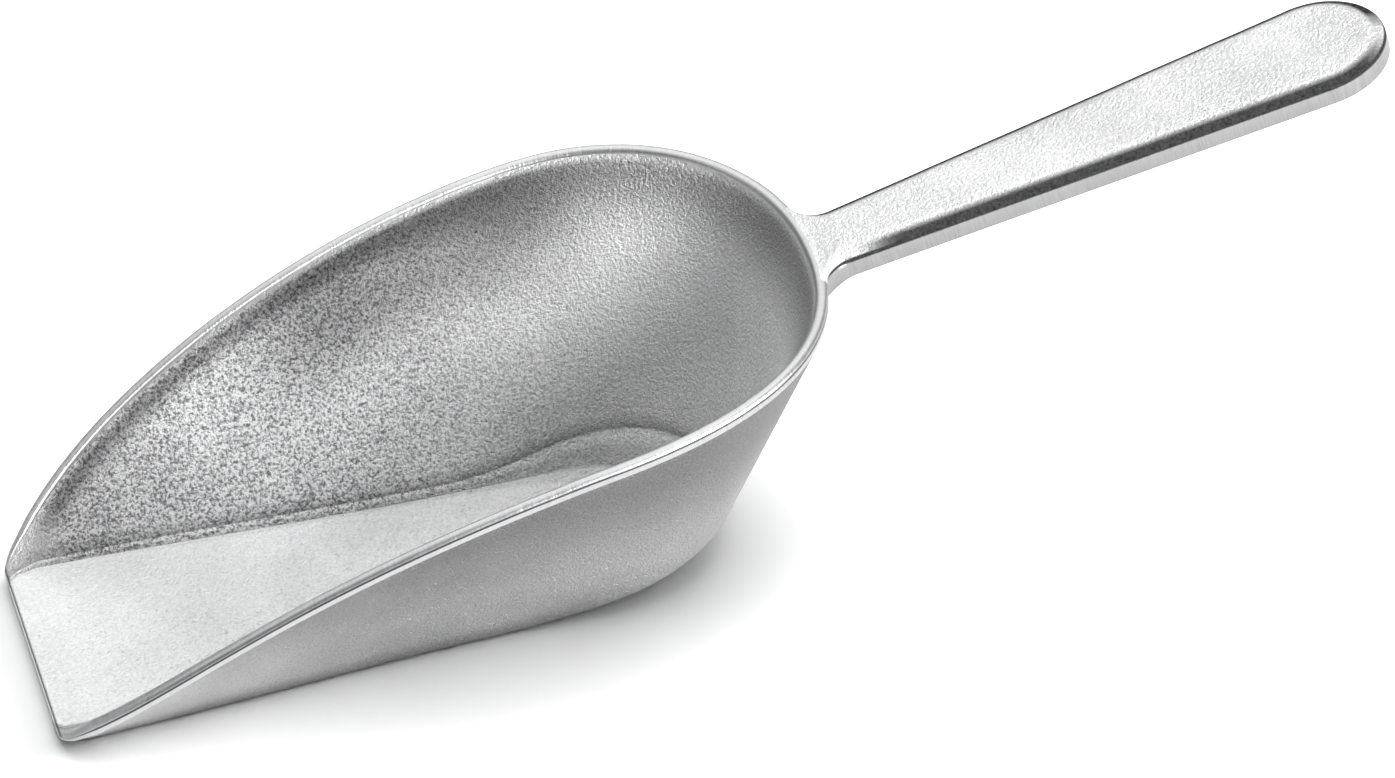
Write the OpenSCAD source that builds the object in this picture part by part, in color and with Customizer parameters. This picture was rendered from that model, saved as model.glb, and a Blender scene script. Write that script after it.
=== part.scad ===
// Ice scoop: one rigid aluminium casting, drawn as the regions that it is made of.
// Millimetres. +X runs from the lip to the handle's end, +Y to one side, +Z up.
// The origin is the centre of the overall box, on the table under the flat base.

/* [Overall] */
// Length from the lip to the handle's end
overall_length = 260; // [245:1:280]

/* [Bowl in plan] */
// Widest outside width, at the rim
bowl_width = 100.6; // [94:0.1:108]
// Width of the straight lip
lip_width = 55.6; // [48:0.1:62]
// Distance from the lip to the widest station
belly_x = 100.6; // [94:0.1:108]
// Distance from the widest station to the back of the rim
tail_length = 50.4; // [46:0.1:56]
// Superellipse power of the round back of the rim
tail_power = 2.2; // [2:0.05:2.6]
// Share of the lip's flare that opens right behind the lip
corner_flare = 0.37; // [0.2:0.01:0.5]
// Radius of the lip's two corners
corner_radius = 2.5; // [1:0.1:4]

/* [Rim height] */
// Thickness of the lip, where the rim line starts
lip_thickness = 2.6; // [2:0.1:3.5]
// Height of the rim line at the back of the bowl
rim_height = 54.9; // [50:0.1:60]
// Distance from the lip to where the rim line levels out
sheer_length = 142.7; // [135:0.1:149]
// Share of the rim line's rise that follows a plain parabola
sheer_share = 0.85; // [0.7:0.01:1]

/* [Base] */
// Width of the base at the lip, to the sharp corner of base and wall
base_width_front = 50.5; // [44:0.1:54]
// Width of the base at the widest station
base_width_back = 43; // [38:0.1:48]
// Length over which the base narrows
base_taper_length = 91; // [70:1:94]
// Distance from the widest station to the back of the base
base_tail = 26; // [22:0.1:32]
// Outside radius of base and wall behind the lip
heel_radius_front = 2.2; // [1:0.1:4]
// Outside radius of base and wall round the heel
heel_radius_back = 19.5; // [8:0.1:20]
// Station where the heel radius starts to grow
heel_start = 82; // [70:1:90]
// Station where the heel radius is full
heel_end = 124; // [115:1:130]

/* [Walls] */
// Thickness of the walls
wall_thickness = 2.6; // [2:0.1:3.2]
// Thickness of the flat base
floor_thickness = 3; // [2.4:0.1:3.6]
// Inside radius of base and wall behind the lip
inner_radius_front = 3.2; // [2:0.1:5]
// Inside size of the heel at the back: the radius that would reach as far
inner_radius_back = 13.5; // [6:0.1:15]
// Height of the ground band under the rim line
land_height = 1.1; // [0.6:0.1:1.6]
// Depth of the rim bead below the rim line
rim_depth = 3; // [2.4:0.1:4]
// Rise of the rounded rim over the rim line
rim_crown = 1; // [0.4:0.1:1.4]

/* [Handle] */
// Rise of the handle from level
handle_angle = 11.9; // [6:0.1:18]
// Width at the root, level with the back of the rim
neck_width = 15.7; // [13:0.1:20]
// Width across the round end
handle_width = 27; // [22:0.1:32]
// Plan radius between the rim and the neck
neck_fillet = 5.6; // [3:0.1:8]
// Station where the neck starts to rise
bend_start = 149.4; // [146:0.1:152]
// Length of that bend
bend_length = 6.7; // [5:0.1:12]
// Height of the ground side of the handle
side_height = 3.3; // [2.5:0.1:5]
// Rise of the crowned top over the side
top_crown = 1.8; // [1:0.1:2.6]
// Width of the rounded edge of the top
bevel_width = 4.5; // [2:0.1:6]
// Depth of the fillet under the neck, down the back wall
neck_drop = 9; // [6:0.5:14]

/* [Hidden] */

lip_depth = 6;        // length of the lip region
side_turn = 35;       // turn round the back, in degrees, where side and back walls meet
n_side = 26;          // stations from the lip region to the widest station
n_turn = 8;           // stations on round to side_turn
n_back = 16;          // stations from side_turn to the neck fillet
n_neck = 9;           // stations from the neck fillet to the centre line
n_arc = 6;            // steps of each fillet arc
heel_pull = 0.3;      // how softly the inside of the heel bends at its top
tail_e = 2 / tail_power;
base_e = tail_e;
cast = [0.80, 0.81, 0.82];
ground = [0.70, 0.71, 0.72];

// ---- plain helpers ----
function mix(a, b, t) = a + (b - a) * t;
function clamp01(t) = min(max(t, 0), 1);
function ease(t) = 0.5 - 0.5 * cos(180 * clamp01(t));
function steps(a, b, n) = [for (i = [0:n]) mix(a, b, i / n)];
function tail_of(v) = [for (i = [1:len(v) - 1]) v[i]];
function backwards(v) = [for (i = [len(v) - 1:-1:0]) v[i]];
function pick(v, which) = [for (i = which) v[i]];
function mirrored(v) = [for (p = v) [p[0], -p[1], p[2]]];

// ---- rim line ----
// Half width of the rim at station x, from the lip to the widest station
function rim_half(x) =
    let (u = 1 - x / belly_x,
         gain = (1 - corner_flare) * pow(u, 2) + corner_flare * pow(u, 10))
    bowl_width / 2 - (bowl_width - lip_width) / 2 * gain;

// Height of the rim line at station x, on along the neck and handle too
function rim_z(x) =
    let (u = 1 - min(x, sheer_length) / sheer_length,
         sheer = sheer_share * pow(u, 2) + (1 - sheer_share) * pow(u, 5.3),
         run = min(max(x - bend_start, 0), bend_length),
         rise = tan(handle_angle))
    lip_thickness + (rim_height - lip_thickness) * (1 - sheer)
    + rise * run * run / (2 * bend_length) + rise * max(x - bend_start - bend_length, 0);

function rim_slope(x) = atan((rim_z(x + 0.01) - rim_z(x - 0.01)) / 0.02);

// A station is [side, value]: side 0 holds x before the widest station, side 1 a turn after it
function rim_xy(s) = s[0] == 0 ? [s[1], rim_half(s[1]) - corner_cut(s[1])]
    : [belly_x + tail_length * pow(sin(s[1]), tail_e), bowl_width / 2 * pow(cos(s[1]), tail_e)];

function base_xy(s) = s[0] == 0
    ? [s[1], mix(base_width_front, base_width_back, ease(s[1] / base_taper_length)) / 2
             - corner_cut(s[1])]
    : [belly_x + base_tail * pow(sin(s[1]), base_e),
       base_width_back / 2 * pow(cos(s[1]), base_e)];

// Plan rounding of the lip's corners
function corner_cut(x) = x >= corner_radius ? 0
    : corner_radius - sqrt(pow(corner_radius, 2) - pow(corner_radius - x, 2));

// ---- wall section at a station, in its own vertical plane ----
// Everything a section needs: base point, direction, reach, rim height, lean and radii
function frame_at(s) =
    let (b = base_xy(s),
         c = rim_xy(s),
         reach = norm(c - b),
         zc = rim_z(c[0]),
         lean = atan2(zc - land_height, reach),
         r_out = mix(heel_radius_front, heel_radius_back,
                     ease((b[0] - heel_start) / (heel_end - heel_start))),
         grown = (r_out - heel_radius_front) / (heel_radius_back - heel_radius_front),
         r_in = mix(inner_radius_front, inner_radius_back, grown),
         width = wall_thickness / sin(lean),
         foot = floor_thickness / tan(lean) - width,
         inset = max(r_in * tan(lean / 2) - foot, r_out * tan(lean / 2)) + 1.2)
    [b, (c - b) / reach, reach, zc, lean, r_out, r_in, width, foot, inset, grown];

function place(f, q) = [f[0][0] + f[1][0] * q[0], f[0][1] + f[1][1] * q[0], q[1]];
function outer_w(f, z) = f[2] * z / (f[3] - land_height);
function inner_w(f, z) = outer_w(f, z) - f[7];

// Outside of the wall, from the base joint up to the rim joint
function outer_run(f) =
    let (t = f[5] * tan(f[4] / 2), zj = f[3] - rim_depth)
    concat([[-f[9], 0]],
           [for (a = steps(0, f[4], n_arc)) [-t + f[5] * sin(a), f[5] * (1 - cos(a))]],
           [for (k = [0.35, 0.7]) let (z = mix(t * sin(f[4]), zj, k)) [outer_w(f, z), z]],
           [[outer_w(f, zj), zj]]);

// Inside bend of wall and base, reaching t both ways from their corner. It is near a circle's arc
// behind the lip. Round the heel it is a ramp with its tighter bend at the top.
function inner_bend(f, t) =
    let (k = [f[8], floor_thickness],
         up = k + t * [cos(f[4]), sin(f[4])],
         down = k - [t, 0],
         p = mix(up, k, mix(0.62, heel_pull, f[10])),
         q = mix(down, k, mix(0.62, 0.55, f[10])))
    [for (u = steps(0, 1, n_arc))
        pow(1 - u, 3) * up + 3 * u * pow(1 - u, 2) * p + 3 * u * u * (1 - u) * q + pow(u, 3) * down];

// Inside of the wall, from the rim joint down to the base joint
function inner_run(f) =
    let (t = f[6] * tan(f[4] / 2), zj = f[3] - rim_depth, top = t * sin(f[4]) + floor_thickness)
    concat([[inner_w(f, zj), zj]],
           top < zj ? [for (k = [0.3, 0.65]) let (z = mix(zj, top, k)) [inner_w(f, z), z]]
                    : [for (k = [0.3, 0.65]) let (z = mix(zj, floor_thickness, k * 0.5))
                          [inner_w(f, z), z]],
           inner_bend(f, top < zj ? t : t * 0.5 * (zj - floor_thickness) / (top - floor_thickness)),
           [[-f[9], floor_thickness]]);

// Rim bead: ground band, rim line, rounded top, inner edge
function bead_top(f) =
    let (wi = inner_w(f, f[3]), half = (f[2] - wi) / 2)
    [for (a = steps(0, 180, 6)) [f[2] - half + half * cos(a), f[3] + rim_crown * sin(a)]];

function bead_run(f) =
    let (zj = f[3] - rim_depth)
    concat([[outer_w(f, zj), zj], [f[2], f[3] - land_height]], bead_top(f),
           [[inner_w(f, zj), zj]]);

function wall_loop(s) = let (f = frame_at(s))
    [for (q = concat(outer_run(f), inner_run(f))) place(f, q)];
function rim_loop(s) = let (f = frame_at(s)) [for (q = bead_run(f)) place(f, q)];

// ---- handle in plan ----
root_x = bend_start + bend_length;
side_rise = side_height * sin(handle_angle);
end_x = overall_length - side_rise;
grip_r = handle_width / 2;
grip_s = (end_x - root_x) / cos(handle_angle) - grip_r;
back_x = belly_x + tail_length;
side_k = (grip_r - neck_width / 2) / (end_x - grip_r * cos(handle_angle) - back_x);
function side_half(x) = neck_width / 2 + side_k * (x - back_x);
root_half = side_half(root_x);

// Fillet between the rim and the handle's side: a circle that touches both
function rim_normal(t) =
    let (v = [pow(sin(t), 2 - tail_e) / tail_length, pow(cos(t), 2 - tail_e) / (bowl_width / 2)])
    v / norm(v);
function fillet_gap(t) =
    let (c = rim_xy([1, t]) + rim_normal(t) * neck_fillet)
    (c[1] - side_half(c[0])) / norm([1, side_k]) - neck_fillet;
function bisect(a, b, n) = n == 0 ? (a + b) / 2
    : let (m = (a + b) / 2) fillet_gap(m) > 0 ? bisect(m, b, n - 1) : bisect(a, m, n - 1);
fillet_turn = bisect(30, 89.5, 40);
fillet_c = rim_xy([1, fillet_turn]) + rim_normal(fillet_turn) * neck_fillet;
fillet_a0 = atan2(-rim_normal(fillet_turn)[1], -rim_normal(fillet_turn)[0]);
fillet_a1 = atan2(-1, side_k);

// Edge of the neck in plan: round the fillet, then straight to the handle's root
n_fillet = 7;
neck_edge = concat(
    [for (a = steps(fillet_a0, fillet_a1, n_fillet)) fillet_c + neck_fillet * [cos(a), sin(a)]],
    fillet_c[0] + neck_fillet * cos(fillet_a1) < root_x - 0.6
        ? [[(fillet_c[0] + root_x) / 2, side_half((fillet_c[0] + root_x) / 2)],
           [root_x, root_half]]
        : [[root_x, root_half]]);

// ---- stations ----
side_stations = concat([for (x = steps(lip_depth, belly_x, n_side)) [0, x]],
                       [for (t = tail_of(steps(0, side_turn, n_turn))) [1, t]]);
// Fewer stations crowd at the neck: even steps to its fillet, then even steps to the middle
back_half = concat(steps(side_turn, fillet_turn, n_back), tail_of(steps(fillet_turn, 90, n_neck)));

function back_loops(kind) =
    let (half = [for (t = back_half) kind == "wall" ? wall_loop([1, t]) : rim_loop([1, t])])
    concat(half, [for (i = [len(half) - 2:-1:0]) mirrored(half[i])]);

// ---- closed skins from loops of points ----
// Consecutive loops are joined by triangles. The two ends are closed flat: each as one polygon,
// or as a strip of triangles that runs out both ways from the loop's edge after point seam
module skin(loops, seam = -1) {
    m = len(loops[0]);
    n = len(loops);
    function end_faces(first) = seam < 0 ? [[for (j = [0:m - 1]) first + j]]
        : [for (k = [0:m / 2 - 2], half = [0, 1])
              let (a = (seam - k + m) % m, c = (seam - k - 1 + m) % m, b = seam + 1 + k)
              half == 0 ? [first + c, first + a, first + b] : [first + c, first + b, first + b + 1]];
    polyhedron(
        points = [for (l = loops, p = l) p],
        faces = concat(
            [for (i = [0:n - 2], j = [0:m - 1]) let (k = (j + 1) % m)
                [i * m + j, (i + 1) * m + j, (i + 1) * m + k]],
            [for (i = [0:n - 2], j = [0:m - 1]) let (k = (j + 1) % m)
                [i * m + j, (i + 1) * m + k, i * m + k]],
            end_faces(0),
            [for (face = end_faces((n - 1) * m)) backwards(face)]),
        convexity = 8);
}

module centred() {
    translate([-overall_length / 2, 0, 0]) children();
}

// ---- base and lip ----
function joint_xy(s) = let (f = frame_at(s)) f[0] - f[1] * f[9];
floor_edge = concat([for (s = side_stations) joint_xy(s)],
                    [for (t = tail_of(back_half)) joint_xy([1, t])]);

module floor_plate() {
    color(cast) centred() linear_extrude(height = floor_thickness)
        polygon(concat(floor_edge, [for (i = [len(floor_edge) - 2:-1:0])
            [floor_edge[i][0], -floor_edge[i][1]]]));
}

// The lip's section is the section at its back, flattened as the rim line comes down to the lip:
// the outside keeps its share of the rim height, the inside its share of the height over the base
function lip_half_loop(x) =
    let (f = frame_at([0, x]),
         g = frame_at([0, lip_depth]),
         low = concat(pick(outer_run(g), [1, 3, 5, 7, 9, 10]), [[g[2], g[3] - land_height]]),
         high = concat(pick(bead_top(g), [0, 3, 6]), pick(inner_run(g), [0, 3, 6, 9])),
         top = mix(lip_thickness, floor_thickness, x / lip_depth),
         k_low = f[3] / g[3],
         k_high = (f[3] - top) / (g[3] - floor_thickness),
         k_out = (f[2] + g[9]) / (g[2] + g[9]))
    concat([for (q = low) place(f, [(q[0] + g[9]) * k_out - g[9], q[1] * k_low])],
           [for (q = high) place(f, [(q[0] + g[9]) * k_out - g[9],
                                     top + (q[1] - floor_thickness) * k_high])]);

module lip() {
    color(cast) centred() skin([for (x = [0, 0.5, 1.25, 2.5, 4.2, lip_depth])
        let (h = lip_half_loop(x)) concat(h, backwards(mirrored(h)))], seam = 6);
}

// ---- walls and rim ----
module wall_left() {
    color(cast) centred() skin([for (s = side_stations) wall_loop(s)]);
}

module wall_right() {
    mirror([0, 1, 0]) wall_left();
}

module wall_back() {
    color(cast) centred() skin(back_loops("wall"));
}

module rim_left() {
    color(ground) centred() skin([for (s = side_stations) rim_loop(s)]);
}

module rim_right() {
    mirror([0, 1, 0]) rim_left();
}

module rim_back() {
    color(ground) centred() skin(back_loops("rim"));
}

// Height of the crowned top at a distance in from its edge
function crown_at(d) = top_crown * pow(1 - pow(1 - clamp01(d / bevel_width), 2.4), 0.6);

// ---- neck ----
neck_insets = [bevel_width, bevel_width * 0.45, bevel_width * 0.15, 0, 0, 0, 0];
neck_levels = [for (i = [0:2]) crown_at(neck_insets[i]), 0, -side_height * 0.33,
               -side_height * 0.67, -side_height];

// Points of a rim and wall section that the neck grows from, from the bead's top down
function attach_levels(t) =
    let (f = frame_at([1, t]), b = bead_top(f), zd = f[3] - neck_drop)
    [for (q = [b[3], b[2], b[1], b[0], [f[2], f[3] - land_height],
               [outer_w(f, f[3] - rim_depth), f[3] - rim_depth], [outer_w(f, zd), zd]])
        place(f, q)];

// A point over the rim line: station x, offset y across, height h square to the line
function over_line(x, y, h) =
    let (a = rim_slope(x)) [x - h * sin(a), y, rim_z(x) + h * cos(a)];

// Side points of the neck at row i, levels from top to bottom
function neck_side(i) =
    let (e = neck_edge[i],
         e0 = neck_edge[0],
         t = (e[0] - e0[0]) / (root_x - e0[0]),
         start = attach_levels(fillet_turn),
         origin0 = start[3],
         u = ease(t),
         drop = pow(1 - t, 2.2))
    [for (k = [0:6])
        let (far = over_line(e[0], e[1] - neck_insets[k], neck_levels[k]),
             near = over_line(e[0], e[1], 0) + (start[k] - origin0),
             w = k > 3 ? 1 - drop : u)
        k == 3 ? over_line(e[0], e[1], 0) : mix(near, far, w)];

neck_turns = concat(steps(fillet_turn, 90, n_neck));
neck_starts = concat([for (t = neck_turns) attach_levels(t)],
                     [for (i = [n_neck - 1:-1:0]) mirrored(attach_levels(neck_turns[i]))]);
n_cols = len(neck_starts);

// Level k of row i at column j: the straight line across, plus what is left of the rim's curve
function neck_point(i, j, k) =
    let (side = neck_side(i)[k],
         side0 = neck_starts[0][k],
         c = 0.5 * (1 - neck_starts[j][3][1] / neck_starts[0][3][1]),
         across = [side[0], mix(side[1], -side[1], c), side[2]],
         across0 = [side0[0], mix(side0[1], -side0[1], c), side0[2]],
         t = (neck_edge[i][0] - neck_edge[0][0]) / (root_x - neck_edge[0][0]))
    across + (neck_starts[j][k] - across0) * (1 - ease(t));

function neck_loop(i) = concat(
    [for (j = [0:n_cols - 1]) neck_point(i, j, 0)],
    [for (k = [1:5]) neck_point(i, n_cols - 1, k)],
    [for (j = [n_cols - 1:-1:0]) neck_point(i, j, 6)],
    [for (k = [5:-1:1]) neck_point(i, 0, k)]);

module neck() {
    n = len(neck_edge);
    m = 2 * n_cols + 10;
    inner0 = n * m;
    // index of level k at column j on the face against the rim
    function idx(j, k) = k == 0 ? j : k == 6 ? n_cols + 5 + (n_cols - 1 - j)
        : j == n_cols - 1 ? n_cols + k - 1 : j == 0 ? m - k
        : inner0 + (j - 1) * 5 + k - 1;
    color(cast) centred() polyhedron(
        points = concat([for (i = [0:n - 1], p = neck_loop(i)) p],
                        [for (j = [1:n_cols - 2], k = [1:5]) neck_starts[j][k]]),
        faces = concat(
            [for (i = [0:n - 2], j = [0:m - 1]) let (k = (j + 1) % m)
                [i * m + j, (i + 1) * m + j, (i + 1) * m + k]],
            [for (i = [0:n - 2], j = [0:m - 1]) let (k = (j + 1) % m)
                [i * m + j, (i + 1) * m + k, i * m + k]],
            [for (j = [0:n_cols - 2], k = [0:5]) [idx(j, k), idx(j + 1, k + 1), idx(j, k + 1)]],
            [for (j = [0:n_cols - 2], k = [0:5]) [idx(j, k), idx(j + 1, k), idx(j + 1, k + 1)]],
            [[for (j = [m - 1:-1:0]) (n - 1) * m + j]]),
        convexity = 8);
}

// ---- handle, in its own tilted frame ----
grip_turn = asin(grip_r / norm([root_half, grip_s])) - atan2(root_half, grip_s);
grip_touch = [grip_s - grip_r * sin(grip_turn), grip_r * cos(grip_turn)];

module tilted() {
    centred() translate([root_x, 0, rim_z(root_x)]) rotate([0, -handle_angle, 0]) children();
}

module handle_base() {
    color(ground) tilted() translate([0, 0, -side_height]) linear_extrude(height = side_height)
        union() {
            polygon([[0, -root_half], [grip_touch[0], -grip_touch[1]],
                     grip_touch, [0, root_half]]);
            translate([grip_s, 0]) circle(r = grip_r, $fn = 96);
        }
}

// Half width of the handle at s along it
function grip_half(s) = s <= grip_touch[0] ? mix(root_half, grip_touch[1], s / grip_touch[0])
    : sqrt(max(pow(grip_r, 2) - pow(s - grip_s, 2), 0));

// Distance from a point of the top in to its edge
function edge_gap(s, y) = s <= grip_s ? (grip_half(s) - abs(y)) * cos(grip_turn)
    : grip_r - norm([s - grip_s, y]);

top_cols = [-1, -0.985, -0.95, -0.88, -0.78, -0.65, -0.45, -0.2, 0,
            0.2, 0.45, 0.65, 0.78, 0.88, 0.95, 0.985, 1];
top_rows = concat(steps(0, grip_touch[0], 12),
                  [for (a = tail_of(steps(-grip_turn, 84, 20))) grip_s + grip_r * sin(a)]);

module handle_top() {
    color(cast) tilted() skin([for (s = top_rows)
        [for (c = top_cols) let (y = -c * grip_half(s))
            [s, y, abs(c) == 1 ? 0 : max(crown_at(edge_gap(s, y)), 0.01)]]]);
}

lip();
floor_plate();  // floor
wall_left();
wall_right();
wall_back();
rim_left();
rim_right();
rim_back();
neck();
handle_base();
handle_top();
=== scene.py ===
"""Looks of the ice scoop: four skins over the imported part, in its frame, in metres.

bowl_skin     base, lip and walls, as cast
rim_skin      rounded rim, ground band under it and ground lip face
handle_skin   neck, crowned top and underside of the handle, as cast
handle_side   ground side of the handle
"""

import math

import bmesh
import bpy
from mathutils import Matrix, Vector, noise


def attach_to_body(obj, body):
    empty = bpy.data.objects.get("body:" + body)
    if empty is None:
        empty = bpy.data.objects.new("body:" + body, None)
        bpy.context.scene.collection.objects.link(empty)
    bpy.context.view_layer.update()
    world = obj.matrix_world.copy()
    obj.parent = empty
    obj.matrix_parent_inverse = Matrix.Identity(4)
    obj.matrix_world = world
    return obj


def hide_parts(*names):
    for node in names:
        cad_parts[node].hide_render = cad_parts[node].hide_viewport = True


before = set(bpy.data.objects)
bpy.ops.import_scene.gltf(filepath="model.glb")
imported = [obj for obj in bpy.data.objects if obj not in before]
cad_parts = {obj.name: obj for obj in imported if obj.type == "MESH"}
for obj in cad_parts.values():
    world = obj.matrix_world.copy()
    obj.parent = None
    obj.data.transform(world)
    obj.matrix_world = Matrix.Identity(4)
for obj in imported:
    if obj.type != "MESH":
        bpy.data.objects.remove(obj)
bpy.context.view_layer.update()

# ---- dimensions in millimetres and degrees, as in the part's source; x runs from the lip ----
LENGTH = 260.0
# the rim in plan: widths of bowl and lip, where the bowl is widest, the round back behind it
BOWL_W, LIP_W, BELLY, TAIL, POWER = 100.6, 55.6, 100.6, 50.4, 2.2
FLARE, CORNER = 0.37, 2.5
# the rim's height: at the lip, at the back, how far back it rises, and the shape of the rise
LIP_T, RIM_H, SHEER_L, SHEER = 2.6, 54.9, 142.7, 0.85
# the base in plan: widths in front and at the back, length of the taper, round back
BASE_W0, BASE_W1, TAPER_L, BASE_TAIL = 50.5, 43.0, 91.0, 26.0
# radius between base and wall outside: in front, at the back, and where it grows
HEEL0, HEEL1, HEEL_X0, HEEL_X1 = 2.2, 19.5, 82.0, 124.0
# thickness of wall and floor, radius inside in front and at the back
WALL, FLOOR, INNER_R, INNER_BACK = 2.6, 3.0, 3.2, 13.5
# the rim: height of its ground band and of its crown
LAND, CROWN = 1.1, 1.0
# the handle: slope, widths at neck and end, fillet at the neck, bend, side, crowned top, neck's depth
ANGLE, NECK_W, GRIP_W, FILLET = 11.9, 15.7, 27.0, 5.6
BEND_X, BEND_L, SIDE_H, TOP, BEVEL, DROP = 149.4, 6.7, 3.3, 1.8, 4.5, 9.0
LIP_X = 6.0   # depth of the lip
E = 2 / POWER
SEED = Vector((3.7, 11.2, 5.9))
GROOVE, GROOVE_D = 0.36, 0.22   # width and depth of the parting line's groove
LIP_GROOVE_X, LIP_GROOVE_W, LIP_GROOVE_D = 0.27, 0.22, 0.16   # place, half width and depth

# points along a section: heel, outer wall, ground land, crown, inner wall, floor, base, inside bend
N_HEEL, N_OUT, N_LAND, N_CROWN, N_IN, N_FLOOR, N_BASE, N_BEND = 10, 26, 4, 14, 34, 26, 8, 16

# share of the metal's brightness on the outside, inner walls, floor, rim and top of the handle, set per
# surface to how bright each looks under the light: painted light and shade
OUT_TONE, IN_TONE, FLOOR_TONE, RIM_TONE, TOP_TONE = 0.46, 1.0, 1.0, 0.60, 0.82
# painted shade: the handle's ground side is darker than its top, and darker still toward its bottom
SIDE_TONE, SIDE_FADE = 0.43, 0.06   # ground side of the handle: at its top, and lost to its bottom
# painted highlight along the inside bend, with painted shade at its top edge and on the ramp below:
# (share of the way down the bend, tone)
BEND_HIGHLIGHT_STOPS = ((0.0, 0.5), (0.07, 1.2), (0.22, 1.2), (0.34, 0.82), (0.8, 0.86), (1.0, 1.0))


def rad(a):
    return math.radians(a)


def sin(a):
    return math.sin(rad(a))


def cos(a):
    return math.cos(rad(a))


def mix(a, b, t):
    return a + (b - a) * t


def clamp(t):
    return min(max(t, 0.0), 1.0)


def ease(t):
    return 0.5 - 0.5 * math.cos(math.pi * clamp(t))


def steps(a, b, n):
    return [mix(a, b, i / n) for i in range(n + 1)]


# ---- rim line and base line ----
def rim_half(x):
    u = 1 - x / BELLY
    gain = (1 - FLARE) * u ** 2 + FLARE * abs(u) ** 10
    return BOWL_W / 2 - (BOWL_W - LIP_W) / 2 * gain


def rim_z(x):
    u = 1 - min(x, SHEER_L) / SHEER_L
    sheer = SHEER * u ** 2 + (1 - SHEER) * u ** 5.3
    run = min(max(x - BEND_X, 0), BEND_L)
    rise = math.tan(rad(ANGLE))
    return (LIP_T + (RIM_H - LIP_T) * (1 - sheer)
            + rise * run * run / (2 * BEND_L) + rise * max(x - BEND_X - BEND_L, 0))


def rim_slope(x):
    return math.atan((rim_z(x + 0.01) - rim_z(x - 0.01)) / 0.02)


def corner_cut(x):
    return 0.0 if x >= CORNER else CORNER - math.sqrt(CORNER ** 2 - (CORNER - x) ** 2)


def rim_xy(s):
    if s[0] == 0:
        return s[1], rim_half(s[1]) - corner_cut(s[1])
    return BELLY + TAIL * sin(s[1]) ** E, BOWL_W / 2 * max(cos(s[1]), 0) ** E


def base_xy(s):
    if s[0] == 0:
        return s[1], mix(BASE_W0, BASE_W1, ease(s[1] / TAPER_L)) / 2 - corner_cut(s[1])
    return BELLY + BASE_TAIL * sin(s[1]) ** E, BASE_W1 / 2 * max(cos(s[1]), 0) ** E


class Section:
    """The vertical section of the wall at a station: w is the distance out from the base corner."""

    def __init__(self, s):
        bx, by = base_xy(s)
        cx, cy = rim_xy(s)
        self.b = (bx, by)
        self.reach = math.hypot(cx - bx, cy - by)
        self.d = ((cx - bx) / self.reach, (cy - by) / self.reach)
        self.top = rim_z(cx)
        self.lean = math.atan2(self.top - LAND, self.reach)
        self.r_out = mix(HEEL0, HEEL1, ease((bx - HEEL_X0) / (HEEL_X1 - HEEL_X0)))
        self.grown = (self.r_out - HEEL0) / (HEEL1 - HEEL0)
        self.r_in = mix(INNER_R, INNER_BACK, self.grown)
        self.thick = WALL / math.sin(self.lean)
        self.foot = FLOOR / math.tan(self.lean) - self.thick
        half_turn = math.tan(self.lean / 2)
        self.inset = max(self.r_in * half_turn - self.foot, self.r_out * half_turn) + 1.2

    def place(self, w, z):
        return self.b[0] + self.d[0] * w, self.b[1] + self.d[1] * w, z

    def outer(self, z):
        return self.reach * z / (self.top - LAND)

    def inner(self, z):
        return self.outer(z) - self.thick

    def inner_bend(self, t):
        """Inside bend of wall and base: an arc in front, a ramp with a tight upper bend at the heel."""
        k = Vector((self.foot, FLOOR))
        up = k + t * Vector((math.cos(self.lean), math.sin(self.lean)))
        down = k - Vector((t, 0))
        p = up.lerp(k, mix(0.62, 0.3, self.grown))
        q = down.lerp(k, mix(0.62, 0.55, self.grown))
        out = []
        for i in range(N_BEND + 1):
            u = i / N_BEND
            v = 1 - u
            point = v ** 3 * up + 3 * u * v * v * p + 3 * u * u * v * q + u ** 3 * down
            out.append((point.x, point.y, u))
        return out


def bend_highlight_at(u):
    """A painted highlight runs along the top of the inside bend, with a painted dark edge above it and
    painted shade on the ramp below it.
    """
    for (u0, t0), (u1, t1) in zip(BEND_HIGHLIGHT_STOPS, BEND_HIGHLIGHT_STOPS[1:]):
        if u <= u1:
            return mix(t0, t1, (u - u0) / (u1 - u0))
    return BEND_HIGHLIGHT_STOPS[-1][1]


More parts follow.
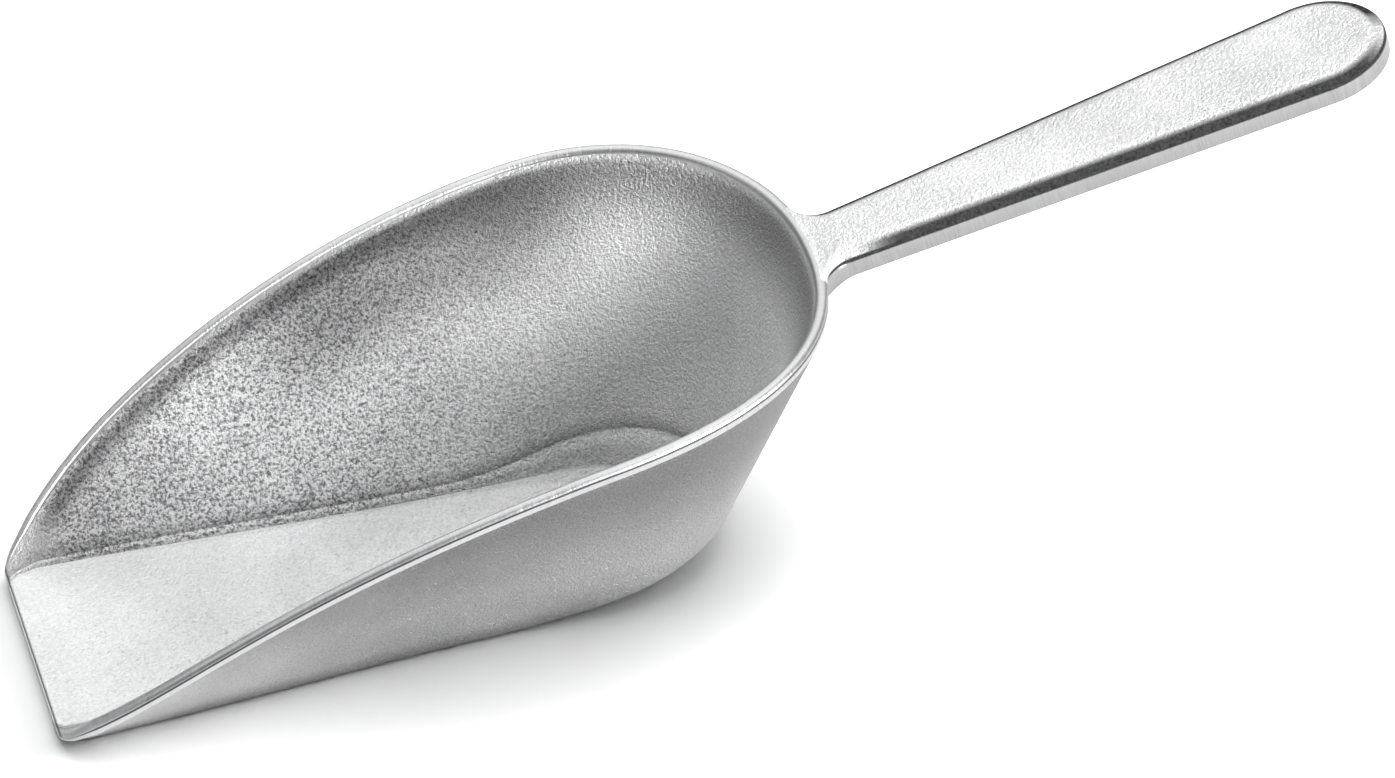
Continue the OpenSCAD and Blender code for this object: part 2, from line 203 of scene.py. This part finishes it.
def wall_profile(f):
    """Points (w, z, kind, crease, tone) from the base joint out, over the rim and in to the floor."""
    a = math.degrees(f.lean)
    t = f.r_out * math.tan(f.lean / 2)
    pts = [(-f.inset, 0, "out", 0, OUT_TONE)]
    pts += [(-t + f.r_out * sin(v), f.r_out * (1 - cos(v)), "out", 0, OUT_TONE)
            for v in steps(0, a, N_HEEL)]
    z0, z1 = t * math.sin(f.lean), f.top - LAND
    pts += [(f.outer(z), z, "out", 0, OUT_TONE) for z in steps(z0, z1, N_OUT)[1:]]
    pts += [(f.reach, z, "land", 0, RIM_TONE) for z in steps(z1 + 0.02, f.top - GROOVE / 2, N_LAND)]
    # painted shade: the parting line's groove is near black, fading over the crown's outer edge
    pts += [(f.reach - GROOVE_D, f.top, "groove", 1, 1),
            (f.reach - 0.03, f.top + GROOVE / 2, "rim", 0.8, RIM_TONE)]
    half = (f.reach - f.inner(f.top)) / 2
    pts += [(f.reach - half + half * cos(v), f.top + CROWN * sin(v), "rim",
             0.3 if v < 20 else 0, RIM_TONE) for v in steps(14, 180, N_CROWN)]
    ti = f.r_in * math.tan(f.lean / 2)
    zt = ti * math.sin(f.lean) + FLOOR
    room = f.top - 1.0
    zf, reach = zt, ti
    if zt > room:
        zf, reach = room, ti * (room - FLOOR) / (zt - FLOOR)
    # painted shade: the inner wall darkens over its last 2.6 mm above the inside bend, a dark line over
    # the painted highlight
    pts += [(f.inner(z), z, "in", 0, IN_TONE * (1 - 0.35 * ease(1 - (z - zf) / 2.6)))
            for z in steps(f.top, zf, N_IN)[1:-1]]
    pts += [(w, z, "in" if u < 0.6 else "floor", 0, bend_highlight_at(u)) for w, z, u in f.inner_bend(reach)]
    pts += [(-f.inset - 2, FLOOR, "floor", 0, FLOOR_TONE)]
    return pts


SPLIT = 1 + N_HEEL + 1 + N_OUT + N_LAND + 1   # profile points up to the parting line


def station_points(s):
    """World points of a half section, from the centre line underneath to the centre line on top."""
    f = Section(s)
    if s[0] == 0 and s[1] < LIP_X:
        g = Section((0, LIP_X))
        top = mix(LIP_T, FLOOR, s[1] / LIP_X)
        k_low = f.top / g.top
        k_high = (f.top - top) / (g.top - FLOOR)
        k_out = (f.reach + g.inset) / (g.reach + g.inset)
        run = []
        for i, (w, z, kind, painted_shade, tone) in enumerate(wall_profile(g)):
            w = (w + g.inset) * k_out - g.inset
            z = z * k_low if i < SPLIT else top + (z - FLOOR) * k_high
            run.append((f.place(w, z), kind, painted_shade, tone))
        # a fine groove runs along the lip's top edge too, with painted shade in it
        dip = LIP_GROOVE_D * max(0.0, 1 - abs(s[1] - LIP_GROOVE_X) / LIP_GROOVE_W)
        run = [((p[0], p[1], p[2] - dip), k, max(c, dip * 6), t) if k in ("rim", "in", "floor")
               else (p, k, c, t) for p, k, c, t in run]
    else:
        dip = 0.0
        run = [(f.place(w, z), *looks) for w, z, *looks in wall_profile(f)]
    joint, last = run[0][0], run[-1][0]
    spine_x = joint[0] if s[0] == 0 else BELLY + 0.9 * (joint[0] - BELLY)
    under = [((mix(spine_x, joint[0], t), mix(0, joint[1], t), joint[2]), "base", 0, OUT_TONE)
             for t in steps(0, 1, N_BASE)[:-1]]
    # the painted shade of the lip's groove reaches the floor's first points
    floor = [((mix(last[0], spine_x, t), mix(last[1], 0, t), last[2]), "floor", min(dip * 6, 1),
              FLOOR_TONE)
             for t in steps(0, 1, N_FLOOR)[1:]]
    return under + run + floor


class Skin:
    """Vertices with their looks, and tagged quads. They are drawn for the +Y half, then mirrored."""

    def __init__(self):
        self.v, self.look, self.f, self.tag, self.far = [], [], [], [], []

    def add(self, p, stipple, painted_shade, run, tone=1.0, far=0.0):
        """Add a vertex; far is painted shade that only the +Y half gets, away from the camera."""
        self.v.append(p)
        self.far.append(far)
        self.look.append((stipple, painted_shade, run, tone))
        return len(self.v) - 1

    def strip(self, a, b, tags):
        for j in range(len(a) - 1):
            self.f.append((a[j], b[j], b[j + 1], a[j + 1]))
            self.tag.append(tags[j])

    def mirror(self):
        n = len(self.v)
        self.v += [(x, -y, z) for x, y, z in self.v]
        near = self.look
        away = [(s, clamp(c + extra), r, t) for (s, c, r, t), extra in zip(near, self.far)]
        self.look = away + near
        self.f += [tuple(n + i for i in reversed(q)) for q in self.f]
        self.tag += self.tag


def waviness(p):
    """The slow unevenness of a sand casting, in millimetres."""
    q = Vector(p)
    return 0.07 * noise.noise(q * 0.09 + SEED) + 0.035 * noise.noise(q * 0.23 - SEED)


def make(name, skin, tags, material):
    """One object of the faces whose tag is in tags."""
    bm = bmesh.new()
    used = {}
    names = ("stipple", "painted_shade", "run", "tone")
    layers = [bm.verts.layers.float.new(n) for n in names]
    for q, tag in zip(skin.f, skin.tag):
        if tag not in tags:
            continue
        corners = []
        for i in q:
            if i not in used:
                x, y, z = skin.v[i]
                v = bm.verts.new(((x - LENGTH / 2) / 1000, y / 1000, z / 1000))
                for layer, value in zip(layers, skin.look[i]):
                    v[layer] = value
                used[i] = v
            if used[i] not in corners:
                corners.append(used[i])
        if len(corners) > 2:
            bm.faces.new(corners)
    bmesh.ops.remove_doubles(bm, verts=bm.verts, dist=5e-6)
    bmesh.ops.dissolve_degenerate(bm, edges=bm.edges, dist=2e-6)
    bmesh.ops.recalc_face_normals(bm, faces=bm.faces)
    me = bpy.data.meshes.new(name)
    bm.to_mesh(me)
    bm.free()
    me.shade_smooth()
    me.set_sharp_from_angle(angle=rad(38))
    me.materials.append(material)
    ob = bpy.data.objects.new(name, me)
    bpy.context.scene.collection.objects.link(ob)
    return ob


# ---- materials ----
class Nodes:
    """Short ways to wire a node material."""

    def __init__(self, name):
        self.mat = bpy.data.materials.new(name)
        self.mat.use_nodes = True
        self.tree = self.mat.node_tree
        self.bsdf = self.tree.nodes["Principled BSDF"]

    def new(self, kind, **values):
        node = self.tree.nodes.new(kind)
        for key, value in values.items():
            if hasattr(node, key) and key not in node.inputs:
                setattr(node, key, value)
            else:
                node.inputs[key.replace("_", " ")].default_value = value
        return node

    def link(self, a, b):
        self.tree.links.new(a, b)

    def put(self, node, index, value):
        if hasattr(value, "links"):
            self.link(value, node.inputs[index])
        else:
            node.inputs[index].default_value = value

    def math(self, op, a, b=0.0, c=0.0):
        node = self.tree.nodes.new("ShaderNodeMath")
        node.operation = op
        for i, value in enumerate((a, b, c)):
            self.put(node, i, value)
        return node.outputs[0]

    def attribute(self, name):
        return self.new("ShaderNodeAttribute", attribute_name=name).outputs["Fac"]

    def noise(self, vector, scale, detail=2.0, rough=0.5):
        node = self.new("ShaderNodeTexNoise", Scale=scale, Detail=detail, Roughness=rough)
        self.link(vector, node.inputs["Vector"])
        return node.outputs["Fac"]

    def remap(self, value, lo, hi, to_lo, to_hi):
        node = self.tree.nodes.new("ShaderNodeMapRange")
        for i, v in enumerate((value, lo, hi, to_lo, to_hi)):
            self.put(node, i, v)
        return node.outputs[0]

    def colour(self, fac, dark, light):
        node = self.tree.nodes.new("ShaderNodeMix")
        node.data_type = "RGBA"
        self.put(node, 0, fac)
        node.inputs[6].default_value = (*dark, 1)
        node.inputs[7].default_value = (*light, 1)
        return node.outputs[2]

    def scaled(self, colour, factor):
        node = self.tree.nodes.new("ShaderNodeVectorMath")
        node.operation = "SCALE"
        self.link(colour, node.inputs[0])
        self.link(factor, node.inputs["Scale"])
        return node.outputs[0]


def cast_material():
    n = Nodes("cast_aluminium")
    here = n.new("ShaderNodeTexCoord").outputs["Object"]
    amp = n.attribute("stipple")
    painted_shade = n.attribute("painted_shade")
    coarse = n.noise(here, 1600, 4.0, 0.6)
    fine = n.noise(here, 3000, 2.0, 0.6)
    cloud = n.noise(here, 42, 3.0, 0.55)
    pits = n.remap(n.noise(here, 1500, 1.0, 0.4), 0.24, 0.36, 1.0, 0.0)
    height = n.math("ADD", n.math("MULTIPLY", coarse, 1.0), n.math("MULTIPLY", fine, 0.28))
    height = n.math("SUBTRACT", height, n.math("MULTIPLY", pits, 0.35))
    bump = n.new("ShaderNodeBump", Strength=1.0)
    n.link(n.math("MULTIPLY", n.math("MULTIPLY", height, amp), 0.0016), bump.inputs["Height"])
    bump.inputs["Distance"].default_value = 1.0
    n.link(bump.outputs[0], n.bsdf.inputs["Normal"])
    grain = n.remap(n.math("ADD", coarse, n.math("MULTIPLY", fine, 0.4)), 0.5, 0.9, 0.0, 1.0)
    deep = n.remap(amp, 0.6, 0.95, 0.0, 1.0)
    tone = n.math("MULTIPLY_ADD", n.math("MULTIPLY", n.math("SUBTRACT", grain, 0.5),
                                         n.math("MULTIPLY_ADD", deep, 1.0, 0.2)), 1.5, 0.82)
    tone = n.math("MULTIPLY_ADD", n.math("SUBTRACT", cloud, 0.5), 0.45, tone)
    tone = n.math("MULTIPLY_ADD", deep, -0.22, tone)
    tone = n.math("SUBTRACT", tone, n.math("MULTIPLY", n.math("MULTIPLY", pits, deep), 0.3))
    base = n.colour(tone, (0.24, 0.244, 0.25), (1.0, 1.0, 1.0))
    # painted shade: where painted_shade is set, the colour goes toward near black and loses its metal
    dark = n.new("ShaderNodeMix", data_type="RGBA")
    n.link(n.math("MULTIPLY", painted_shade, n.remap(coarse, 0.3, 0.7, 0.88, 1.08)), dark.inputs[0])
    n.link(n.scaled(base, n.attribute("tone")), dark.inputs[6])
    dark.inputs[7].default_value = (0.025, 0.025, 0.027, 1)
    n.link(dark.outputs[2], n.bsdf.inputs["Base Color"])
    n.link(n.math("MULTIPLY_ADD", painted_shade, -0.9, 1.0), n.bsdf.inputs["Metallic"])
    n.bsdf.inputs["Specular IOR Level"].default_value = 0.0
    rough = n.math("MULTIPLY_ADD", deep, -0.1, n.remap(cloud, 0.3, 0.7, 0.47, 0.56))
    n.link(rough, n.bsdf.inputs["Roughness"])
    return n.mat


def ground_material():
    n = Nodes("ground_aluminium")
    here = n.new("ShaderNodeTexCoord").outputs["Object"]
    run = n.attribute("run")
    painted_shade = n.attribute("painted_shade")
    split = n.new("ShaderNodeSeparateXYZ")
    n.link(here, split.inputs[0])
    along = n.new("ShaderNodeCombineXYZ")
    n.link(run, along.inputs[0])
    n.link(n.math("MULTIPLY", split.outputs[2], 60.0), along.inputs[1])
    strokes = n.noise(along.outputs[0], 2.6, 3.0, 0.6)
    cloud = n.noise(here, 90, 2.0, 0.5)
    bump = n.new("ShaderNodeBump", Strength=1.0)
    n.link(n.math("MULTIPLY", strokes, 0.00010), bump.inputs["Height"])
    bump.inputs["Distance"].default_value = 1.0
    n.link(bump.outputs[0], n.bsdf.inputs["Normal"])
    tone = n.math("ADD", n.math("MULTIPLY", strokes, 0.7), n.math("MULTIPLY", cloud, 0.3))
    base = n.colour(n.remap(tone, 0.3, 0.7, 0.0, 1.0), (0.72, 0.723, 0.73), (0.92, 0.92, 0.925))
    # painted shade: where painted_shade is set, the colour goes toward near black and loses its metal
    dark = n.new("ShaderNodeMix", data_type="RGBA")
    n.link(painted_shade, dark.inputs[0])
    n.link(n.scaled(base, n.attribute("tone")), dark.inputs[6])
    dark.inputs[7].default_value = (0.025, 0.025, 0.027, 1)
    n.link(dark.outputs[2], n.bsdf.inputs["Base Color"])
    n.link(n.math("MULTIPLY_ADD", painted_shade, -0.9, 1.0), n.bsdf.inputs["Metallic"])
    n.bsdf.inputs["Specular IOR Level"].default_value = 0.0
    n.link(n.remap(strokes, 0.3, 0.7, 0.34, 0.46), n.bsdf.inputs["Roughness"])
    return n.mat


cast = cast_material()
ground = ground_material()


# ---- bowl ----
def bowl_stipple(p, kind):
    """How strong the casting's stipple is: faint at the lip, coarse on the inner walls."""
    from_lip = clamp((p[0] - 8) / 42)
    if kind == "floor":
        return 0.08 + 0.35 * from_lip
    if kind == "in":
        return 0.3 + 0.7 * clamp(p[0] / 14) * (1 - 0.55 * clamp((p[0] - 50) / 70))
    if kind == "rim":
        return 0.12
    return 0.42


def painted_light_share(p, kind, depth):
    """Painted light and shade: share of the tone kept at a point that is depth mm below the rim line.
    """
    x, _, z = p
    # painted shade on the outside: darker toward the rim and at the foot
    if kind == "out":
        high = 0.55 * ease((z - 8) / 38)
        low = 0.4 * (1 - ease(z / 7))
        return (1 - high) * (1 - low)
    # painted shade: the floor is darker toward the lip
    if kind == "floor":
        return 0.74 + 0.26 * ease((x - 10) / 50)
    if kind != "in":
        return 1.0
    # painted shade: a dark band under the rim, wider at the back, a darker patch high on the wall, and
    # darker walls near the lip and at the back
    wide = 4 + 10 * ease((x - 70) / 50)
    rim_band_shade = ease((depth - 0.3) / 1.3) * (1 - ease((depth - 2) / wide)) * ease((x - 2) / 12)
    wall_patch_shade = ease((24 - depth) / 14) * ease((x - 42) / 26) * (1 - ease((x - 100) / 30))
    front = 0.62 + 0.38 * ease((x - 6) / 42)
    back = 1 - 0.24 * ease((x - 62) / 50)
    return front * back * (1 - 0.52 * wall_patch_shade) * (1 - 0.58 * rim_band_shade)


LIP_STATIONS = [CORNER * (1 - cos(a)) for a in steps(0, 90, 14)] + steps(CORNER, LIP_X, 5)[1:]
STATIONS = ([(0, x) for x in LIP_STATIONS] + [(0, x) for x in steps(LIP_X, BELLY, 104)[1:]]
            + [(1, a) for a in steps(0, 90, 96)[1:]])


def build_bowl():
    skin = Skin()
    before, run = None, 0.0
    last = None
    for s in STATIONS:
        pts = station_points(s)
        edge = rim_xy(s)
        run += math.dist(edge, last) if last else 0.0
        last = edge
        row, kinds = [], []
        for p, kind, painted_shade, tone in pts:
            lift = 0.0 if kind in ("land", "groove", "base") else waviness(p)
            lift *= clamp(p[0] / 8)
            row.append(skin.add((p[0], p[1], p[2] + (lift if kind in ("floor", "rim") else 0)),
                                bowl_stipple(p, kind), painted_shade, run,
                                tone * painted_light_share(p, kind, rim_z(edge[0]) - p[2])))
            kinds.append(kind)
        tags = []
        for a, b in zip(kinds, kinds[1:]):
            pair = (a, b)
            if "groove" in pair or "land" in pair and a != "out" or pair == ("rim", "rim"):
                tags.append("ground")
            elif a == "out" and b in ("out", "land") and s[1] < CORNER + 0.4 and s[0] == 0:
                tags.append("ground")
            else:
                tags.append("cast")
        if before:
            skin.strip(before, row, tags)
        else:
            front = row
        before = row
    skin.mirror()
    half = len(skin.v) // 2
    # the lip's front face, ground flat: triangles between its lower and upper edges
    low = front[:N_BASE + SPLIT]
    high = list(reversed(front[N_BASE + SPLIT:]))
    for shift in (0, half):
        i, j = 0, 0
        while i < len(low) - 1 or j < len(high) - 1:
            a, b = low[i] + shift, high[j] + shift
            go_low = j == len(high) - 1 or (
                i < len(low) - 1
                and abs(skin.v[low[i + 1]][1]) <= abs(skin.v[high[j + 1]][1]))
            if go_low:
                q = (a, b, low[i + 1] + shift)
                i += 1
            else:
                q = (a, b, high[j + 1] + shift)
                j += 1
            skin.f.append(q if shift else tuple(reversed(q)))
            skin.tag.append("face")
    return skin


bowl = build_bowl()
bowl_skin = make("bowl_skin", bowl, ("cast",), cast)
rim_skin = make("rim_skin", bowl, ("ground", "face"), ground)

# ---- handle in plan ----
root_x = BEND_X + BEND_L
grip_r = GRIP_W / 2
end_x = LENGTH - SIDE_H * sin(ANGLE)
grip_s = (end_x - root_x) / cos(ANGLE) - grip_r
back_x = BELLY + TAIL
side_k = (grip_r - NECK_W / 2) / (end_x - grip_r * cos(ANGLE) - back_x)


def side_half(x):
    """Half the handle's width in plan."""
    return NECK_W / 2 + side_k * (x - back_x)


root_half = side_half(root_x)


def rim_normal(t):
    v = Vector((sin(t) ** (2 - E) / TAIL, max(cos(t), 0) ** (2 - E) / (BOWL_W / 2)))
    return v.normalized()


def fillet_gap(t):
    c = Vector(rim_xy((1, t))) + rim_normal(t) * FILLET
    return (c.y - side_half(c.x)) / math.hypot(1, side_k) - FILLET


# the turn round the back at which the neck's fillet touches both the rim and the handle's edge
low_t, high_t = 30.0, 89.5
for _ in range(40):
    mid_t = (low_t + high_t) / 2
    low_t, high_t = (mid_t, high_t) if fillet_gap(mid_t) > 0 else (low_t, mid_t)
fillet_turn = (low_t + high_t) / 2
fillet_c = Vector(rim_xy((1, fillet_turn))) + rim_normal(fillet_turn) * FILLET
start_n = -rim_normal(fillet_turn)
arc0 = math.degrees(math.atan2(start_n.y, start_n.x))
arc1 = math.degrees(math.atan2(-1, side_k))
N_ARC, N_STRAIGHT, N_ACROSS = 20, 4, 14
neck_edge = [fillet_c + FILLET * Vector((cos(a), sin(a))) for a in steps(arc0, arc1, N_ARC)]
if neck_edge[-1].x < root_x - 0.3:
    neck_edge += [Vector((x, side_half(x))) for x in steps(neck_edge[-1].x, root_x, N_STRAIGHT)[1:]]

# levels of the handle's edge: bevel from its inner limit to the edge, groove, ground side
BEVEL_U = [0, 0.12, 0.24, 0.36, 0.48, 0.6, 0.7, 0.79, 0.87, 0.93]
SIDE_V = [0.06, 0.25, 0.5, 0.75, 0.94, 1.0]
# the near edge's dark band is painted shade
BAND_START, ROUND_END, TIP_ROWS = 22, 132, 11   # rows where the near edge's dark band fades


def crown_at(d):
    """Height of the handle's crowned top at the distance d in from its edge."""
    return TOP * (1 - (1 - clamp(d / BEVEL)) ** 2.4) ** 0.6


def levels():
    """Levels as (inset, height, tag up to the next, crease, kind, parameter)."""
    out = []
    # painted shade: the bevel darkens toward the edge, and the groove and its lip are near black
    for u in BEVEL_U:
        d = BEVEL * (1 - u) ** 2
        out.append((d, crown_at(d), "top", 0.9 * ease((2.6 - d) / 1.4), "u", u))
    out.append((0.02, 0.10, "side", 0.9, "u", 0.985))
    out.append((GROOVE_D, 0.0, "side", 1.0, "u", 1.0))
    for v in SIDE_V:
        out.append((0.0 if v < 1 else 0.25, -SIDE_H * v, "side", 0.0, "v", v))
    return out


LEVELS = levels()


def attach(t, kind, value):
    """The point of the rim's section at turn t that a level of the neck grows from."""
    f = Section((1, t))
    if kind == "u":
        half = (f.reach - f.inner(f.top)) / 2
        a = 90 * (1 - value)
        return Vector(f.place(f.reach - half + half * cos(a), f.top + CROWN * sin(a)))
    z = [f.top, f.top - LAND, f.top - 3, f.top - DROP]
    w = [f.reach, f.reach, f.outer(f.top - 3), f.outer(f.top - DROP)]
    k = min(int(value * 3), 2)
    r = value * 3 - k
    return Vector(f.place(mix(w[k], w[k + 1], r), mix(z[k], z[k + 1], r)))


def over_line(x, y, h):
    """The point at (x, y) that is h above the rim line, square to it."""
    a = rim_slope(x)
    return Vector((x - h * math.sin(a), y, rim_z(x) + h * math.cos(a)))


def neck_rows():
    """Rows across the neck, from the rim's curve to the handle's straight cross-section."""
    turns = steps(fillet_turn, 90, N_ACROSS)
    rows = []
    e0 = neck_edge[0]
    starts = {}
    for e in neck_edge:
        t = clamp((e.x - e0.x) / (root_x - e0.x))
        sides = []
        for inset, height, tag, painted_shade, kind, value in LEVELS:
            key = (kind, value)
            if key not in starts:
                starts[key] = [attach(a, kind, value) for a in turns]
            start, origin = starts[key][0], attach(fillet_turn, "u", 1.0)
            far = over_line(e.x, e.y - inset, height)
            near = over_line(e.x, e.y, 0) + (start - origin)
            w = 1 - (1 - t) ** 2.2 if kind == "v" else ease(t)
            sides.append(near.lerp(far, w))
        edge_starts = [attach(a, "u", 1.0) for a in turns]

        def across(level, j):
            kind, value = LEVELS[level][4], LEVELS[level][5]
            side, side0 = sides[level], starts[(kind, value)][0]
            c = 0.5 * (1 - edge_starts[j].y / edge_starts[0].y)
            line = Vector((side.x, mix(side.y, -side.y, c), side.z))
            line0 = Vector((side0.x, mix(side0.y, -side0.y, c), side0.z))
            return line + (starts[(kind, value)][j] - line0) * (1 - ease(t))

        top = [across(0, j) for j in range(N_ACROSS, 0, -1)]
        under = [across(len(LEVELS) - 1, j) for j in range(1, N_ACROSS + 1)]
        rows.append((top, sides, under, e))
    return rows


grip_turn = math.degrees(math.asin(grip_r / math.hypot(root_half, grip_s))
                         - math.atan2(root_half, grip_s))
touch = (grip_s - grip_r * sin(grip_turn), grip_r * cos(grip_turn))
N_GRIP, N_END = 90, 64   # rows along the straight edge and round the end
SETTLE = 12.0
TILT = Matrix.Rotation(-rad(ANGLE), 4, "Y")
ROOT = Vector((root_x, 0, rim_z(root_x)))


def tilted(s, y, h):
    return TILT @ Vector((s, y, h)) + ROOT


def grip_rows():
    """Rows from the edge to the middle, along the handle's straight edge and round its end."""
    rows = []
    outline = [(mix(0, touch[0], t), mix(root_half, touch[1], t), -sin(grip_turn), cos(grip_turn))
               for t in steps(0, 1, N_GRIP)[1:]]
    outline += [(grip_s - grip_r * sin(a), grip_r * cos(a), -sin(a), cos(a))
                for a in steps(grip_turn, -90, N_END)[1:]]
    for s, y, ns, ny in outline:
        if s < SETTLE:
            # the edge's direction settles from the neck's line to the handle's
            blend = ease(s / SETTLE)
            ns, ny = ns * blend, mix(1, ny, blend)
        inner_s = s - ns * BEVEL
        spine = inner_s if s <= touch[0] else mix(touch[0] + 2.0, inner_s, 0.55)
        pull = clamp((s - touch[0] + 8) / 8)
        spine = mix(inner_s, spine, pull) if s <= touch[0] else spine
        sides = [tilted(s - ns * i, max(y - ny * i, 0), h) for i, h, *_ in LEVELS]
        inset_y = max(y - ny * BEVEL, 0)
        last = LEVELS[-1][0]
        top = [tilted(mix(spine, inner_s, k / N_ACROSS), inset_y * k / N_ACROSS, TOP)
               for k in range(N_ACROSS)]
        under = [tilted(mix(s - ns * last, spine, k / N_ACROSS),
                        max(y - ny * last, 0) * (1 - k / N_ACROSS), -SIDE_H)
                 for k in range(1, N_ACROSS + 1)]
        rows.append((top, sides, under, Vector((s + root_x, y))))
    return rows


def far_shade_line(inset, index):
    """Painted shade: a dark line along the handle's far edge."""
    return 0.97 * ease((2.8 - inset) / 0.8) * clamp(index / 8)


def near_shade_band(painted_shade, inset, index):
    """Painted shade: a dark band along the near edge; a thin line is all that's left at the neck and
    the end.
    """
    band = painted_shade * clamp(index / 4) * ease((index - BAND_START) / 12)
    band *= 1 - 0.9 * ease((index - ROUND_END) / 40)
    return max(band, 0.9 * ease((0.45 - inset) / 0.2) * clamp(index / 8))


def build_handle():
    skin = Skin()
    before, run, last = None, 0.0, None
    rows = neck_rows() + grip_rows()
    for index, (top, sides, under, edge) in enumerate(rows):
        run += (edge - last).length if last else 0.0
        last = edge
        row, tags = [], []
        soft = 0.5 + 0.5 * clamp(index / 18)
        for p in top:
            row.append(skin.add(tuple(p + Vector((0, 0, waviness(p)))), 0.5 * soft, 0, run,
                                TOP_TONE))
            tags.append("top")
        for p, (inset, height, tag, painted_shade, kind, value) in zip(sides, LEVELS):
            lift = waviness(p) * clamp((1 - value) * 2) if kind == "u" else 0.0
            # painted shade along the handle's edges: the near band on the -Y half, the far line on the
            # +Y half, meeting round the end
            line, far = painted_shade * clamp(index / 4), 0.0
            if tag == "top":
                full = far_shade_line(inset, index)
                tip = ease((index - len(rows) + TIP_ROWS) / (TIP_ROWS - 1))
                line = mix(near_shade_band(painted_shade, inset, index), full / 2, tip)
                far = mix(full, full / 2, tip) - line
            # painted shade: the ground side is darker than the top, and darker still toward its bottom
            tone = SIDE_TONE - SIDE_FADE * value if kind == "v" else TOP_TONE
            row.append(skin.add(tuple(p + Vector((0, 0, lift))),
                                0.5 * soft if kind == "u" else 0.3, line, run, tone, far))
            tags.append(tag)
        tags[-1] = "under"
        for p in under:
            row.append(skin.add(tuple(p), 0.45, 0, run))
            tags.append("under")
        if before:
            skin.strip(before, row, tags)
        before = row
    skin.mirror()
    return skin


handle = build_handle()
handle_skin = make("handle_skin", handle, ("top", "under"), cast)
handle_side = make("handle_side", handle, ("side",), ground)

# ---- how the pieces ride on the part and stand in for its nodes ----
for piece in (bowl_skin, rim_skin, handle_skin, handle_side):
    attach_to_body(piece, "root")
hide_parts("lip", "floor", "wall_left", "wall_right", "wall_back")
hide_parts("rim_left", "rim_right", "rim_back")
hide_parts("neck", "handle_top")
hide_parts("handle_base")


# ---- floor, light and camera ----
PAPER_GAPS = [-14, -6, 0, 1.5, 3, 5, 8, 12, 17, 24, 34, 50, 80, 140, 1000]   # mm from the base
PAPER_CENTRE = Vector((78, 0))
# painted shadow: the paper glows everywhere but round the scoop's base, the glow coming up over
# GLOW_REACH mm
GLOW, GLOW_REACH = 0.76, 32.0   # the paper's own light, and the distance over which it comes up


def floor_plane():
    """Paper in rings round the scoop's base; each point knows how far from the base it is."""
    half = [base_xy(s) for s in STATIONS]
    ring = [Vector(p) for p in half] + [Vector((x, -y)) for x, y in reversed(half[:-1])]
    points, away = [PAPER_CENTRE], [-20.0]
    for gap in PAPER_GAPS:
        points += [p + (p - PAPER_CENTRE).normalized() * gap for p in ring]
        away += [float(gap)] * len(ring)
    n = len(ring)
    faces = [(0, 1 + (i + 1) % n, 1 + i) for i in range(n)]
    for k in range(len(PAPER_GAPS) - 1):
        a, b = 1 + k * n, 1 + (k + 1) * n
        faces += [(a + i, a + (i + 1) % n, b + (i + 1) % n, b + i) for i in range(n)]
    me = bpy.data.meshes.new("floor_plane")
    me.from_pydata([((p.x - LENGTH / 2) / 1000, p.y / 1000, 0) for p in points], [], faces)
    me.attributes.new("away", "FLOAT", "POINT").data.foreach_set("value", away)
    me.materials.append(paper_material())
    ob = bpy.data.objects.new("floor_plane", me)
    bpy.context.scene.collection.objects.link(ob)


def paper_material():
    n = Nodes("white_paper")
    n.bsdf.inputs["Base Color"].default_value = (0.93, 0.93, 0.93, 1)
    n.bsdf.inputs["Roughness"].default_value = 0.9
    n.bsdf.inputs["Specular IOR Level"].default_value = 0.1
    n.bsdf.inputs["Emission Color"].default_value = (1, 1, 1, 1)
    # painted contact shadow: no glow at the base, full glow GLOW_REACH mm away
    glow = n.remap(n.attribute("away"), 0.0, GLOW_REACH, 0.0, GLOW)
    n.link(glow, n.bsdf.inputs["Emission Strength"])
    return n.mat


floor_plane()


AIM = Vector((0, 0, 0.03))


def softbox(name, at, size_x, size_y, watts):
    """An area light that looks at the scoop."""
    light = bpy.data.lights.new(name, "AREA")
    light.shape = "RECTANGLE"
    light.size, light.size_y = size_x, size_y
    light.energy = watts
    ob = bpy.data.objects.new(name, light)
    ob.location = at
    ob.rotation_euler = (AIM - Vector(at)).to_track_quat("-Z", "Y").to_euler()
    bpy.context.scene.collection.objects.link(ob)
    return ob


softbox("back_box", (0.18, 0.95, 1.25), 2.4, 1.9, 24)
softbox("top_box", (0.05, -0.2, 1.6), 1.2, 1.0, 7.5)
softbox("left_box", (-1.3, 0.35, 1.1), 1.0, 1.0, 4)
# this one only shows in the metal: it would wash out the paper's shadow
softbox("front_box", (0.93, -1.28, 0.78), 1.0, 0.6, 90).visible_diffuse = False

world = bpy.data.worlds.new("studio")
world.use_nodes = True
world.node_tree.nodes["Background"].inputs[0].default_value = (0.93, 0.96, 1.0, 1)
world.node_tree.nodes["Background"].inputs[1].default_value = 0.12
bpy.context.scene.world = world

camera = bpy.data.cameras.new("camera")
camera.sensor_width = 36
camera.lens = 210.62
camera.clip_end = 20
cam = bpy.data.objects.new("camera", camera)
cam.matrix_world = Matrix((
    (0.964103, 0.206334, -0.16713, -0.25073),
    (-0.255211, 0.546289, -0.797769, -1.18302),
    (-0.073305, 0.811785, 0.579338, 0.88824),
    (0, 0, 0, 1)))
bpy.context.scene.collection.objects.link(cam)
bpy.context.scene.camera = cam
bpy.context.scene.view_settings.view_transform = "Standard"
